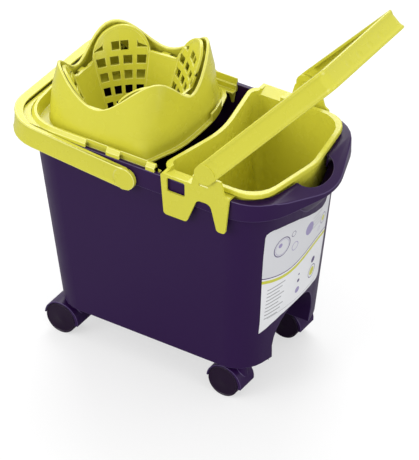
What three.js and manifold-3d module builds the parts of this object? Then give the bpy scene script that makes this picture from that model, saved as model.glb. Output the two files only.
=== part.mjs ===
// Two-compartment mop bucket on four twin-wheel castors, with a twist wringer over the back half
// and a lift-out rinse bucket over the pouring end. Millimetres, +Z up, +X towards the pouring nose,
// +Y to the left. The floor is z = 0, and the origin lies under the middle of the whole object.
import * as THREE from 'three';
import { mergeVertices, toCreasedNormals } from 'three/addons/utils/BufferGeometryUtils.js';
import Module from 'manifold-3d';

const wasm = await Module();
wasm.setup();

// ---------------------------------------------------------------- driving dimensions

// Clearance between neighbouring pieces
const GAP = 0.3;

// Outer bucket: foot outline, wall outline at the rim, wall and floor thickness
const FOOT_Z = 55;
const FOOT_HALF_WIDTH = 101;
const FOOT_BACK = -148;
const FOOT_FRONT = 187;
const FOOT_BACK_CORNER = 46;
const FOOT_FRONT_CORNER = 45;
const RIM_Z = 350;
const WALL_HALF_WIDTH = 119.3;
const WALL_BACK = -183;
const WALL_FRONT = 218;
const WALL_BACK_CORNER = 56;
const WALL_FRONT_CORNER = 62;
const END_BOW = 8;
const FRONT_BOW = 14;
const WALL = 2.8;
const FLOOR_RISE = 15;

// Turned-down band round the rim and the pouring nose that it runs into
const BAND_OUT = 3;
const BAND_DEEP = 30;
const BAND_TIP_DEEP = 6;
const NOSE_TIP = 247.5;
const NOSE_SLANT = 20;
const NOSE_ROUND = 92;
const NOSE_CORNER = 64;
const NOSE_START = 215;
const NOSE_FALL = 0.53;
const NOSE_PLATE = 3;
const NOTCH_HALF_WIDTH = 38.5;
const NOTCH_REACH = 21;
const CHUTE_LOW_Z = 282;
const CHUTE_LOW_HALF_WIDTH = 16;
const CHUTE_TOP_HALF_WIDTH = 62;

// Finger pocket under the pouring end
const POCKET_HALF_WIDTH = 50;
const POCKET_TOP_Z = 129;
const POCKET_DEEP = 58;

// Castors: stem places, wheel pair and hood
const STEM_BACK_X = -113;
const STEM_FRONT_X = 154;
const STEM_Y = 78;
const STEM_RADIUS = 4;
const STEM_TOP_Z = 90;
const SOCKET_RADIUS = 9.5;
const SOCKET_LOW_Z = 53;
const WHEEL_RADIUS = 23.5;
const WHEEL_WIDTH = 14;
const WHEEL_SPLIT = 7;
const TRAIL = 20;
const HOOD_RADIUS = 26.5;
const HOOD_NOSE = 29;
const HOOD_REAR_ANGLE = 176;
const HOOD_FRONT_ANGLE = -9;
const STEM_SINK = 8;
const AXLE_RADIUS = 2.5;

// Straps and pegs of both handles
const PEG_RADIUS = 5;
const STRAP_SKIN = 3;
const STRAP_DISH = 0.9;
const ARM_CLEAR = 1;

// Carrying handle, folded back round the rim; it passes the band at the sides and the wall behind
const CARRY_PIVOT_X = -0.5;
const CARRY_PIVOT_Z = 328;
const CARRY_STANDOFF = 20.5;
const CARRY_CORNER = 54;
const CARRY_STRAP = 33;
const CARRY_ARM_DEEP = 6.5;
const CARRY_GRIP_DEEP = 13;
const CARRY_RISE = 4.84;
const CARRY_HALF_SPREAD = WALL_HALF_WIDTH + BAND_OUT + ARM_CLEAR + CARRY_ARM_DEEP;
const CARRY_REACH = CARRY_PIVOT_X - WALL_BACK + CARRY_STANDOFF;

// Wringer body: tray over the back half of the rim
const TRAY_OUT = 2.7;
const TRAY_CREST_Z = 361;
const TRAY_EDGE_Z = 356;
const TRAY_FLOOR_Z = 344;
const TRAY_SKIN = 3;
const TRAY_RIDGE_WIDTH = 9;
const TRAY_ARM_TIP = 43;
const TRAY_FAR_TIP = 24;
const SKIRT_LOW_Z = 323;
const SKIRT_ARCH_Z = 339;
const SKIRT_ARCH_HALF = 13;
const TRAY_SLOTS = [[-67, -34], [-13, 29]];

// Wringer body: cup with four crests, flaring into the tray
const CUP_X = -72;
const CUP_VALLEY_RADIUS = 93.5;
const CUP_CREST_RADIUS = 102.5;
const CUP_CREST_FORWARD = 3;
const CUP_VALLEY_Z = 392;
const CUP_CREST_Z = 434.5;
const CUP_LONGER = 1.2;
const CUP_FORWARD = 4.3;
const CUP_TILT = 8;
const CUP_CREST_TILT = 13;
const CUP_CREST_SHIFT = 4.5;
const CUP_WALL = 2.8;
const CUP_LIP = 1.2;
const CUP_BASE_FRONT = 104;
const CUP_BASE_BACK = 98;
const CUP_BASE_SIDE = 106;
const CUP_BASE_SQUARE = 3;
const CUP_FLARE = 1.6;
const CUP_CREST_FLARE = 0.5;
const WING_ANGLE = 51;
const WING_OUT = 11;

// Wringer basket, which hangs by its collar on the floor of the cup
const BASKET_MOUTH_RADIUS = 77.5;
const COLLAR_RADIUS = 83;
const COLLAR_SKIN = 2.5;
const BASKET_FLOOR_Z = 282;
const BASKET_FLOOR_RADIUS = 42;
const BASKET_SKIN = 2.6;
const BASKET_DROP = 6;
const PETAL_RADIUS = 95.5;
const PETAL_FORWARD = 2;
const PETAL_FLATNESS = 0.42;
const PETAL_RIM = 3.2;
const PETAL_RIM_PROUD = 0.9;
const LUG_WIDTH = 12;
const HOLE_COLUMNS = 4;
const HOLE_ROWS = 5;
const HOLE_ANGLE = 14.2;
const HOLE_SHARE = 0.66;
const HOLE_PITCH = 19.4;
const HOLE_HIGH = 11.5;
const HOLE_TOP_DROP = 26.5;

// Rinse bucket
const RINSE_RIM_Z = 361;
const RINSE_HALF_WIDTH = 113.5;
const RINSE_POINT = 220;
const RINSE_POINT_SLOPE = 0.165;
const RINSE_POINT_RADIUS = 60;
const RINSE_LIP_CORNER = 36;
const RINSE_BODY_CORNER = 42;
const RINSE_BACK = 71;
const RINSE_BACK_SLOPE = 0.21;
const RINSE_BACK_RADIUS = 150;
const RINSE_BACK_CORNER = 14;
const RINSE_LIP = 4.5;
const RINSE_WALL = 2.5;
const RINSE_FLOOR_Z = 138;
const RINSE_TAPER = 13;
const RINSE_FRONT_LEAN = 13;

// Aprons and ears on the sides of the rinse bucket
const APRON_IN = 124;
const APRON_OUT = 127;
const APRON_BACK = 56;
const APRON_FRONT = 163;
const APRON_LOW_Z = 295;
const WINDOW_BACK = 66;
const WINDOW_FRONT = 99;
const WINDOW_LOW_Z = 333;
const TONGUE_X = 151;
const ARCH_X = 125;
const ARCH_TOP_Z = 336;
const EAR_X = 122;
const EAR_TOP_Z = 396;
const EAR_RADIUS = 18;
const EAR_BACK = 97;
const EAR_FRONT = 155;

// Rinse bucket handle, raised
const BAIL_PIVOT_X = 126;
const BAIL_PIVOT_Z = 382;
const BAIL_REACH = 245;
const BAIL_STRAIGHT = 28;
const BAIL_NARROWING = 0.186;
const BAIL_CORNER = 16;
const BAIL_STRAP = 29.5;
const BAIL_DEEP = 13;
const BAIL_ANGLE = 48.6;
const BAIL_END_RADIUS = 18;
const FINGER_DENTS = 4;
const FINGER_PITCH = 26;
const BAIL_HALF_SPREAD = APRON_OUT + ARM_CLEAR + STRAP_SKIN;

// ---------------------------------------------------------------- geometry helpers

const rad = THREE.MathUtils.degToRad;
const lerp = THREE.MathUtils.lerp;
const clamp = THREE.MathUtils.clamp;

function orient(positions, index) {
  let volume = 0;
  const corner = [new THREE.Vector3(), new THREE.Vector3(), new THREE.Vector3()];
  for (let t = 0; t < index.length; t += 3) {
    for (let c = 0; c < 3; c++) {
      corner[c].fromArray(positions, index[t + c] * 3);
    }
    volume += corner[0].dot(corner[1].clone().cross(corner[2]));
  }
  if (volume < 0) {
    index.reverse();
  }
  const geometry = new THREE.BufferGeometry();
  geometry.setAttribute('position', new THREE.Float32BufferAttribute(positions, 3));
  geometry.setIndex(index);
  return geometry;
}

function signedArea(points) {
  let area = 0;
  for (let i = 0; i < points.length; i++) {
    const next = points[(i + 1) % points.length];
    area += points[i].x * next.y - next.x * points[i].y;
  }
  return area / 2;
}

// Ring of space points laid flat along the axis it faces most, for closing it with triangles
function flatten(ring) {
  const facing = new THREE.Vector3();
  for (let i = 0; i < ring.length; i++) {
    facing.add(ring[i].clone().cross(ring[(i + 1) % ring.length]));
  }
  const size = [Math.abs(facing.x), Math.abs(facing.y), Math.abs(facing.z)];
  const most = size.indexOf(Math.max(...size));
  if (most === 0) {
    return ring.map((p) => new THREE.Vector2(p.y, p.z));
  }
  if (most === 1) {
    return ring.map((p) => new THREE.Vector2(p.z, p.x));
  }
  return ring.map((p) => new THREE.Vector2(p.x, p.y));
}

// Closed skin through rings of equal point count, with a flat cap at each end
function loft(rings) {
  const count = rings[0].length;
  const positions = rings.flat().flatMap((p) => [p.x, p.y, p.z]);
  const index = [];
  for (let k = 0; k + 1 < rings.length; k++) {
    for (let i = 0; i < count; i++) {
      const a = k * count + i;
      const b = k * count + ((i + 1) % count);
      index.push(a, b, b + count, a, b + count, a + count);
    }
  }
  for (const last of [false, true]) {
    const ring = last ? rings[rings.length - 1] : rings[0];
    const start = last ? (rings.length - 1) * count : 0;
    const flat = flatten(ring);
    const turn = Math.sign(signedArea(flat));
    for (const face of THREE.ShapeUtils.triangulateShape(flat, [])) {
      const same = Math.sign(signedArea(face.map((i) => flat[i]))) === turn;
      const ordered = same === last ? face : [face[0], face[2], face[1]];
      index.push(...ordered.map((i) => start + i));
    }
  }
  return orient(positions, index);
}

function evenly(count) {
  return Array.from({ length: count }, (_, i) => (i / count) * Math.PI * 2);
}

// Closed ring skin: one closed section (radius, z) at each of the angles round a vertical axis
function ringSkin(sectionAt, angles) {
  const positions = [];
  const index = [];
  const depth = sectionAt(0).length;
  const count = angles.length;
  for (const angle of angles) {
    for (const [r, z] of sectionAt(angle)) {
      positions.push(r * Math.cos(angle), r * Math.sin(angle), z);
    }
  }
  for (let i = 0; i < count; i++) {
    for (let j = 0; j < depth; j++) {
      const a = i * depth + j;
      const b = i * depth + ((j + 1) % depth);
      const c = ((i + 1) % count) * depth + j;
      const d = ((i + 1) % count) * depth + ((j + 1) % depth);
      index.push(a, b, d, a, d, c);
    }
  }
  return orient(positions, index);
}

function solid(geometry) {
  const bare = geometry.clone();
  bare.deleteAttribute('normal');
  bare.deleteAttribute('uv');
  const merged = mergeVertices(bare, 1e-4);
  const index = merged.index.array;
  const kept = [];
  for (let t = 0; t < index.length; t += 3) {
    const [a, b, c] = [index[t], index[t + 1], index[t + 2]];
    if (a !== b && b !== c && a !== c) {
      kept.push(a, b, c);
    }
  }
  const mesh = new wasm.Mesh({
    numProp: 3,
    vertProperties: new Float32Array(merged.attributes.position.array),
    triVerts: new Uint32Array(kept),
  });
  return new wasm.Manifold(mesh);
}

function geometryOf(body) {
  const mesh = body.getMesh();
  const geometry = new THREE.BufferGeometry();
  geometry.setAttribute('position', new THREE.Float32BufferAttribute(mesh.vertProperties, 3));
  geometry.setIndex(Array.from(mesh.triVerts));
  return toCreasedNormals(geometry, rad(32));
}

function join(bodies) {
  return bodies.reduce((whole, body) => whole.add(body));
}

function cut(body, cutters) {
  return cutters.reduce((rest, cutter) => rest.subtract(cutter), body);
}

function box(x0, x1, y0, y1, z0, z1) {
  const geometry = new THREE.BoxGeometry(x1 - x0, y1 - y0, z1 - z0);
  geometry.translate((x0 + x1) / 2, (y0 + y1) / 2, (z0 + z1) / 2);
  return solid(geometry);
}

function upright(x, y, z0, z1, radius, steps = 20) {
  const geometry = new THREE.CylinderGeometry(radius, radius, z1 - z0, steps);
  geometry.rotateX(Math.PI / 2);
  geometry.translate(x, y, (z0 + z1) / 2);
  return solid(geometry);
}

function crosswise(x, z, y0, y1, radius, steps = 24) {
  const geometry = new THREE.CylinderGeometry(radius, radius, y1 - y0, steps);
  geometry.translate(x, (y0 + y1) / 2, z);
  return solid(geometry);
}

function extruded(points, depth) {
  const shape = new THREE.Shape(points.map((p) => new THREE.Vector2(p.x, p.y)));
  return new THREE.ExtrudeGeometry(shape, { depth, steps: 1, bevelEnabled: false });
}

// Outline drawn in x and z, pushed across from y0 to y1
function sidePrism(points, y0, y1) {
  const geometry = extruded(points, y1 - y0);
  geometry.rotateX(Math.PI / 2);
  geometry.translate(0, y1, 0);
  return solid(geometry);
}

// Outline drawn in y and z, pushed along from x0 to x1
function endPrism(points, x0, x1) {
  const geometry = extruded(points, x1 - x0);
  const turn = new THREE.Matrix4().makeBasis(
    new THREE.Vector3(0, 1, 0),
    new THREE.Vector3(0, 0, 1),
    new THREE.Vector3(1, 0, 0),
  );
  geometry.applyMatrix4(turn);
  geometry.translate(x0, 0, 0);
  return solid(geometry);
}

function arc(points, cx, cy, radius, from, to, steps, withEnd) {
  const count = withEnd ? steps : steps - 1;
  for (let k = 0; k <= count; k++) {
    const angle = from + ((to - from) * k) / steps;
    points.push(new THREE.Vector2(cx + radius * Math.cos(angle), cy + radius * Math.sin(angle)));
  }
}

// Closed outline through corners {x, y, r}, each corner rounded by its own radius
function roundedLoop(corners, steps = 5) {
  const points = [];
  const count = corners.length;
  for (let i = 0; i < count; i++) {
    const here = new THREE.Vector2(corners[i].x, corners[i].y);
    const before = corners[(i + count - 1) % count];
    const after = corners[(i + 1) % count];
    const back = new THREE.Vector2(before.x, before.y).sub(here).normalize();
    const ahead = new THREE.Vector2(after.x, after.y).sub(here).normalize();
    const half = Math.acos(clamp(back.dot(ahead), -1, 1)) / 2;
    const radius = corners[i].r;
    const centre = back.clone().add(ahead).normalize().multiplyScalar(radius / Math.sin(half)).add(here);
    const start = back.clone().multiplyScalar(radius / Math.tan(half)).add(here).sub(centre);
    const end = ahead.clone().multiplyScalar(radius / Math.tan(half)).add(here).sub(centre);
    const from = start.angle();
    let sweep = end.angle() - from;
    if (sweep > Math.PI) {
      sweep -= Math.PI * 2;
    }
    if (sweep < -Math.PI) {
      sweep += Math.PI * 2;
    }
    arc(points, centre.x, centre.y, radius, from, from + sweep, steps, true);
  }
  return points;
}

function level(points, z) {
  return points.map((p) => new THREE.Vector3(p.x, p.y, z));
}

// ---------------------------------------------------------------- outer bucket

// Rounded rectangle whose two ends bow outwards
function bucketLoop(o) {
  const frontBow = rad(o.frontBow);
  const backBow = rad(o.backBow);
  const frontSide = o.halfWidth - o.frontCorner;
  const backSide = o.halfWidth - o.backCorner;
  const frontBig = o.frontCorner + frontSide / Math.sin(frontBow);
  const backBig = o.backCorner + backSide / Math.sin(backBow);
  const frontX = o.front - frontBig + (frontBig - o.frontCorner) * Math.cos(frontBow);
  const backX = o.back + backBig - (backBig - o.backCorner) * Math.cos(backBow);
  const turn = Math.PI;
  const points = [];
  arc(points, o.front - frontBig, 0, frontBig, -frontBow, frontBow, 8, false);
  arc(points, frontX, frontSide, o.frontCorner, frontBow, turn / 2, 6, true);
  arc(points, backX, backSide, o.backCorner, turn / 2, turn - backBow, 6, false);
  arc(points, o.back + backBig, 0, backBig, turn - backBow, turn + backBow, 4, false);
  arc(points, backX, -backSide, o.backCorner, turn + backBow, turn * 1.5, 6, true);
  arc(points, frontX, -frontSide, o.frontCorner, turn * 1.5, turn * 2 - frontBow, 6, false);
  return points;
}

function wallLoop(z, inset) {
  const t = (z - FOOT_Z) / (RIM_Z - FOOT_Z);
  return bucketLoop({
    halfWidth: lerp(FOOT_HALF_WIDTH, WALL_HALF_WIDTH, t) - inset,
    back: lerp(FOOT_BACK, WALL_BACK, t) + inset,
    front: lerp(FOOT_FRONT, WALL_FRONT, t) - inset,
    backCorner: lerp(FOOT_BACK_CORNER, WALL_BACK_CORNER, t) - inset,
    frontCorner: lerp(FOOT_FRONT_CORNER, WALL_FRONT_CORNER, t) - inset,
    backBow: END_BOW,
    frontBow: FRONT_BOW,
  });
}

function wallBlock(z0, z1, inset) {
  return solid(loft([level(wallLoop(z0, inset), z0), level(wallLoop(z1, inset), z1)]));
}

// Rim outline: straight sides, a nose drawn out to a blunt point, a slightly bowed back end
function rimLoop(inset) {
  const half = WALL_HALF_WIDTH + BAND_OUT - inset;
  const tip = NOSE_TIP - inset;
  const slope = Math.tan(rad(NOSE_SLANT));
  const point = tip + NOSE_ROUND * (1 / Math.cos(rad(NOSE_SLANT)) - 1);
  const back = WALL_BACK - BAND_OUT + inset;
  const bow = Math.tan(rad(END_BOW / 2)) * half;
  return roundedLoop([
    { x: point, y: 0, r: NOSE_ROUND },
    { x: point - slope * half, y: half, r: NOSE_CORNER - inset },
    { x: back + bow, y: half, r: WALL_BACK_CORNER + BAND_OUT - inset },
    { x: back - 0.5, y: 0, r: 400 },
    { x: back + bow, y: -half, r: WALL_BACK_CORNER + BAND_OUT - inset },
    { x: point - slope * half, y: -half, r: NOSE_CORNER - inset },
  ], 6);
}

function rimBlock(z0, z1, inset) {
  return solid(loft([level(rimLoop(inset), z0), level(rimLoop(inset), z1)]));
}

function frontWallX(z) {
  return lerp(FOOT_FRONT, WALL_FRONT, (z - FOOT_Z) / (RIM_Z - FOOT_Z));
}

// Region above the rim: level along the sides, falling away over the nose
function aboveRim(drop) {
  const far = NOSE_TIP + 60;
  const low = RIM_Z - NOSE_FALL * (far - NOSE_START) - drop;
  return sidePrism([
    { x: -400, y: RIM_Z - drop },
    { x: NOSE_START, y: RIM_Z - drop },
    { x: far, y: low },
    { x: far, y: RIM_Z + 200 },
    { x: -400, y: RIM_Z + 200 },
  ], -300, 300);
}

// Region below the lower edge of the band, which rises towards the nose
function belowBand() {
  const tipZ = RIM_Z - NOSE_FALL * (NOSE_TIP - NOSE_START);
  const low = RIM_Z - BAND_DEEP;
  return sidePrism([
    { x: -400, y: low },
    { x: NOSE_START - 60, y: low },
    { x: NOSE_START - 15, y: low + 4 },
    { x: NOSE_TIP, y: tipZ - BAND_TIP_DEEP },
    { x: NOSE_TIP + 60, y: tipZ - BAND_TIP_DEEP + 3 },
    { x: NOSE_TIP + 60, y: 0 },
    { x: -400, y: 0 },
  ], -300, 300);
}

// Rounded trough that swells out of the end wall under the notch
function chute(inset) {
  const rings = [];
  const steps = 5;
  const top = RIM_Z - NOSE_FALL * (NOSE_TIP - NOSE_START) - BAND_TIP_DEEP / 2;
  for (let k = 0; k <= steps; k++) {
    const t = k / steps;
    const z = lerp(CHUTE_LOW_Z + inset, top, t);
    const reach = lerp(frontWallX(z), NOSE_TIP - 3, Math.pow(t, 0.85)) - inset;
    const half = lerp(CHUTE_LOW_HALF_WIDTH, CHUTE_TOP_HALF_WIDTH, t) - inset;
    const root = FOOT_FRONT;
    const ring = [];
    for (let s = 0; s <= 12; s++) {
      const angle = rad(-90 + 15 * s);
      const bulge = (reach - root) * Math.pow(Math.cos(angle), 0.8);
      ring.push(new THREE.Vector3(root + Math.max(bulge, 0), half * Math.sin(angle), z));
    }
    rings.push(ring);
  }
  return solid(loft(rings));
}

function pocketArch(grow) {
  const points = [];
  const half = POCKET_HALF_WIDTH + grow;
  const top = POCKET_TOP_Z + grow;
  const spring = FOOT_Z + 22;
  points.push({ x: half - 6, y: FOOT_Z - 20 });
  for (let k = 0; k <= 12; k++) {
    const angle = rad(15 * k);
    const flat = Math.pow(Math.abs(Math.cos(angle)), 0.85) * Math.sign(Math.cos(angle));
    points.push({ x: half * flat, y: spring + (top - spring) * Math.sin(angle) });
  }
  points.push({ x: -half + 6, y: FOOT_Z - 20 });
  return endPrism(points, FOOT_FRONT - POCKET_DEEP - grow, FOOT_FRONT + 60);
}

const stemPlaces = [
  { name: 'rear_left', x: STEM_BACK_X, y: STEM_Y },
  { name: 'rear_right', x: STEM_BACK_X, y: -STEM_Y },
  { name: 'front_left', x: STEM_FRONT_X, y: STEM_Y },
  { name: 'front_right', x: STEM_FRONT_X, y: -STEM_Y },
];

function outerBucket() {
  const floorTop = FOOT_Z + FLOOR_RISE + WALL;
  const noseHollow = cut(
    rimBlock(RIM_Z - BAND_DEEP - 20, RIM_Z + 20, WALL),
    [aboveRim(NOSE_PLATE), box(-400, NOSE_START - 30, -300, 300, 0, 500)],
  );
  const band = cut(rimBlock(RIM_Z - BAND_DEEP - 10, RIM_Z + 10, 0), [belowBand(), noseHollow]);
  const skin = cut(join([wallBlock(FOOT_Z, RIM_Z + 8, 0), band, chute(0)]), [aboveRim(0), pocketArch(0)]);
  const room = cut(wallBlock(floorTop, RIM_Z + 30, WALL), [pocketArch(WALL)]);
  const under = cut(wallBlock(FOOT_Z - 10, FOOT_Z + FLOOR_RISE, WALL), [pocketArch(WALL)]);
  const notch = new THREE.CylinderGeometry(1, 1, 60, 28);
  notch.rotateX(Math.PI / 2);
  notch.scale(NOTCH_REACH, NOTCH_HALF_WIDTH, 1);
  notch.translate(NOSE_START, 0, RIM_Z);
  const shell = cut(skin, [room, under, chute(WALL), solid(notch)]);
  const sockets = stemPlaces.map((s) => upright(s.x, s.y, SOCKET_LOW_Z, STEM_TOP_Z + 4, SOCKET_RADIUS, 20));
  const bores = stemPlaces.map((s) => upright(s.x, s.y, 0, STEM_TOP_Z + GAP, STEM_RADIUS + GAP, 16));
  const pegHoles = crosswise(CARRY_PIVOT_X, CARRY_PIVOT_Z, -200, 200, PEG_RADIUS + GAP);
  return cut(join([shell, ...sockets]), [...bores, pegHoles]);
}

// ---------------------------------------------------------------- castors

// All castor pieces are drawn about the axle, which lies across at y; the stem stands at x = TRAIL
function castorHood() {
  const outline = [];
  for (let k = 0; k <= 14; k++) {
    const angle = rad(lerp(HOOD_FRONT_ANGLE, HOOD_REAR_ANGLE, k / 14));
    const reach = Math.cos(angle) > 0 ? HOOD_NOSE : HOOD_RADIUS;
    outline.push({ x: reach * Math.cos(angle), y: HOOD_RADIUS * Math.sin(angle) });
  }
  outline.push({ x: 0, y: -4 });
  const half = WHEEL_SPLIT / 2 + WHEEL_WIDTH;
  const web = WHEEL_SPLIT / 2 - 0.5;
  const neckTop = SOCKET_LOW_Z - GAP - WHEEL_RADIUS;
  const blank = join([sidePrism(outline, -half, half), upright(TRAIL, 0, 8, neckTop, 7.5, 16)]);
  const wheelRoom = [
    crosswise(0, 0, web, half + 20, HOOD_RADIUS - 2.2, 24),
    crosswise(0, 0, -half - 20, -web, HOOD_RADIUS - 2.2, 24),
  ];
  const hub = crosswise(0, 0, -web, web, 6.5, 14);
  const bore = crosswise(0, 0, -30, 30, AXLE_RADIUS + GAP, 12);
  const stemBore = upright(TRAIL, 0, neckTop - STEM_SINK, neckTop + 10, STEM_RADIUS + GAP, 14);
  return cut(join([cut(blank, wheelRoom), hub]), [bore, stemBore]);
}

function castorWheel() {
  const bore = AXLE_RADIUS + GAP;
  const w = WHEEL_WIDTH;
  const r = WHEEL_RADIUS;
  const profile = [
    new THREE.Vector2(0, w - 3.5),
    new THREE.Vector2(bore, w - 3.5),
    new THREE.Vector2(bore, 0),
    new THREE.Vector2(r, 0),
    new THREE.Vector2(r, w - 2),
    new THREE.Vector2(r - 2, w),
    new THREE.Vector2(r * 0.7, w),
    new THREE.Vector2(r * 0.62, w - 1.6),
    new THREE.Vector2(r * 0.3, w - 1.6),
    new THREE.Vector2(r * 0.24, w),
    new THREE.Vector2(0, w),
  ];
  return new THREE.LatheGeometry(profile, 18);
}

function castorAxle() {
  const half = WHEEL_SPLIT / 2 + WHEEL_WIDTH - 3.5 - GAP;
  return new THREE.CylinderGeometry(AXLE_RADIUS, AXLE_RADIUS, half * 2, 16);
}

function castorStem() {
  const low = SOCKET_LOW_Z - STEM_SINK - WHEEL_RADIUS;
  const high = STEM_TOP_Z - WHEEL_RADIUS;
  const profile = [
    new THREE.Vector2(0, low),
    new THREE.Vector2(STEM_RADIUS, low),
    new THREE.Vector2(STEM_RADIUS, high - 7),
    new THREE.Vector2(STEM_RADIUS - 0.8, high - 6),
    new THREE.Vector2(STEM_RADIUS - 0.8, high - 4),
    new THREE.Vector2(STEM_RADIUS, high - 3),
    new THREE.Vector2(STEM_RADIUS - 1.5, high),
    new THREE.Vector2(0, high),
  ];
  const geometry = new THREE.LatheGeometry(profile, 16);
  geometry.rotateX(Math.PI / 2);
  return geometry;
}

// ---------------------------------------------------------------- bail handles

// Half width of the straight middle of a bail's grip
function gripHalf(o) {
  const run = Math.hypot(1, o.narrowing);
  return o.halfSpread - o.narrowing * (o.reach - o.corner - o.straight) - o.corner * run;
}

// Outer face of a bail in its own plane: u away from the pivots, v across. The arms run straight
// past the pivots, close in by `narrowing`, then turn through `corner` into the grip.
function bailPath(o) {
  const centreU = o.reach - o.corner;
  const centreV = gripHalf(o);
  const lean = Math.atan2(1, o.narrowing);
  const half = [0, ...o.knots].map((u) => {
    const past = u - o.straight;
    const angle = past > 0 ? lean : Math.PI / 2;
    const bend = past === 0 ? (lean + Math.PI / 2) / 2 : angle;
    return { u: u, v: o.halfSpread - o.narrowing * Math.max(past, 0), angle: bend };
  });
  for (let k = 0; k <= 8; k++) {
    const angle = lean * (1 - k / 8);
    const u = centreU + o.corner * Math.cos(angle);
    half.push({ u: u, v: centreV + o.corner * Math.sin(angle), angle: angle });
  }
  const other = half.map((p) => ({ u: p.u, v: -p.v, angle: -p.angle })).reverse();
  return [...half, ...other];
}

// Channel strap along a bail path: a face plate with two flanges that point inwards
function bailStrap(o) {
  const path = bailPath(o);
  const high = o.strap / 2;
  const rings = path.map((p) => {
    const deep = o.deepAt(p.u);
    const skin = STRAP_SKIN;
    const dish = STRAP_DISH;
    const section = [
      [dish, high - 5], [dish, -high + 5], [0, -high + 3], [0, -high + 1], [1, -high],
      [deep, -high], [deep, -high + skin], [skin, -high + skin],
      [skin, high - skin], [deep, high - skin], [deep, high], [1, high], [0, high - 1], [0, high - 3],
    ];
    return section.map(([d, h]) => {
      const u = p.u - d * Math.cos(p.angle);
      const v = p.v - d * Math.sin(p.angle);
      return new THREE.Vector3(u, v, h);
    });
  });
  return solid(loft(rings));
}

function carryHandle() {
  const half = CARRY_HALF_SPREAD;
  const strap = bailStrap({
    halfSpread: half,
    reach: CARRY_REACH,
    straight: 0,
    narrowing: 0,
    corner: CARRY_CORNER,
    strap: CARRY_STRAP,
    knots: [CARRY_REACH / 4, CARRY_REACH / 2],
    deepAt: (u) => {
      const t = clamp((u - (CARRY_REACH - CARRY_CORNER)) / CARRY_CORNER, 0, 1);
      return lerp(CARRY_ARM_DEEP, CARRY_GRIP_DEEP, t * t * (3 - 2 * t));
    },
  });
  const parts = [strap];
  for (const side of [-1, 1]) {
    const [a, b] = [side * half, side * (half - CARRY_ARM_DEEP)].sort((p, q) => p - q);
    const [c, d] = [side * (half - 1), side * (WALL_HALF_WIDTH - WALL - 5)].sort((p, q) => p - q);
    parts.push(crosswise(0, 0, a, b, CARRY_STRAP / 2, 32));
    parts.push(crosswise(0, 0, c, d, PEG_RADIUS, 20));
  }
  return join(parts);
}

function rinseHandle() {
  const half = BAIL_HALF_SPREAD;
  const skin = STRAP_SKIN;
  const clear = BAIL_STRAIGHT;
  const form = {
    halfSpread: half,
    reach: BAIL_REACH,
    straight: clear,
    narrowing: BAIL_NARROWING,
    corner: BAIL_CORNER,
    strap: BAIL_STRAP,
    knots: [clear - 3, clear, clear + 8, BAIL_REACH / 3, BAIL_REACH / 2],
    deepAt: (u) => lerp(skin + 0.3, BAIL_DEEP, clamp((u - clear) / 8, 0, 1)),
  };
  const parts = [bailStrap(form)];
  for (const side of [-1, 1]) {
    const [a, b] = [side * half, side * (half - skin)].sort((p, q) => p - q);
    const [c, d] = [side * (half - 1), side * (APRON_IN - 3)].sort((p, q) => p - q);
    parts.push(crosswise(0, 0, a, b, BAIL_END_RADIUS, 32));
    parts.push(crosswise(0, 0, c, d, PEG_RADIUS, 20));
  }
  const dents = [];
  const flatHalf = gripHalf(form);
  for (let k = 0; k < FINGER_DENTS; k++) {
    const along = (k - (FINGER_DENTS - 1) / 2) * FINGER_PITCH;
    const past = Math.max(Math.abs(along) - flatHalf, 0) / BAIL_CORNER;
    const angle = past * Math.sign(along);
    const u = BAIL_REACH - BAIL_CORNER * (1 - Math.cos(angle));
    const v = clamp(along, -flatHalf, flatHalf) + BAIL_CORNER * Math.sin(angle);
    const dent = new THREE.SphereGeometry(1, 14, 8);
    dent.scale(1.6, 10, 9);
    dent.rotateZ(angle);
    dent.translate(u, v, 0);
    dents.push(solid(dent));
  }
  return cut(join(parts), dents);
}

// ---------------------------------------------------------------- wringer

// 0 towards the four sides, 1 towards the four crests, which stand a little off the diagonals
function crest(angle) {
  const turned = angle + rad(CUP_CREST_SHIFT) * Math.sin(2 * angle);
  return (1 - Math.cos(4 * turned)) / 2;
}

// Rounded-square base of the cup, drawn out into a wing at each front corner
function cupBase(angle) {
  const c = Math.cos(angle);
  const along = Math.abs(c) / (c > 0 ? CUP_BASE_FRONT : CUP_BASE_BACK);
  const across = Math.abs(Math.sin(angle)) / CUP_BASE_SIDE;
  const n = CUP_BASE_SQUARE;
  return Math.pow(Math.pow(along, n) + Math.pow(across, n), -1 / n);
}

function cupEdge(angle) {
  const valley = CUP_VALLEY_RADIUS + CUP_LONGER * Math.cos(2 * angle) + CUP_FORWARD * Math.cos(angle);
  return lerp(valley, CUP_CREST_RADIUS + CUP_CREST_FORWARD * Math.cos(angle), crest(angle));
}

function cupTopZ(angle) {
  const tilt = lerp(CUP_TILT, CUP_CREST_TILT, crest(angle));
  return lerp(CUP_VALLEY_Z, CUP_CREST_Z, crest(angle)) + tilt * Math.cos(angle);
}

function cupRadius(angle, z) {
  const top = cupTopZ(angle);
  const t = clamp((top - z) / (top - TRAY_FLOOR_Z), 0, 1);
  const off = Math.acos(Math.cos(Math.abs(Math.atan2(Math.sin(angle), Math.cos(angle))) - rad(WING_ANGLE)));
  const wing = WING_OUT * Math.exp(-Math.pow(off / rad(9), 2)) * Math.pow(t, 5);
  const flare = lerp(CUP_FLARE, CUP_CREST_FLARE, crest(angle));
  return lerp(cupEdge(angle), cupBase(angle), Math.pow(t, flare)) + wing;
}

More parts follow.
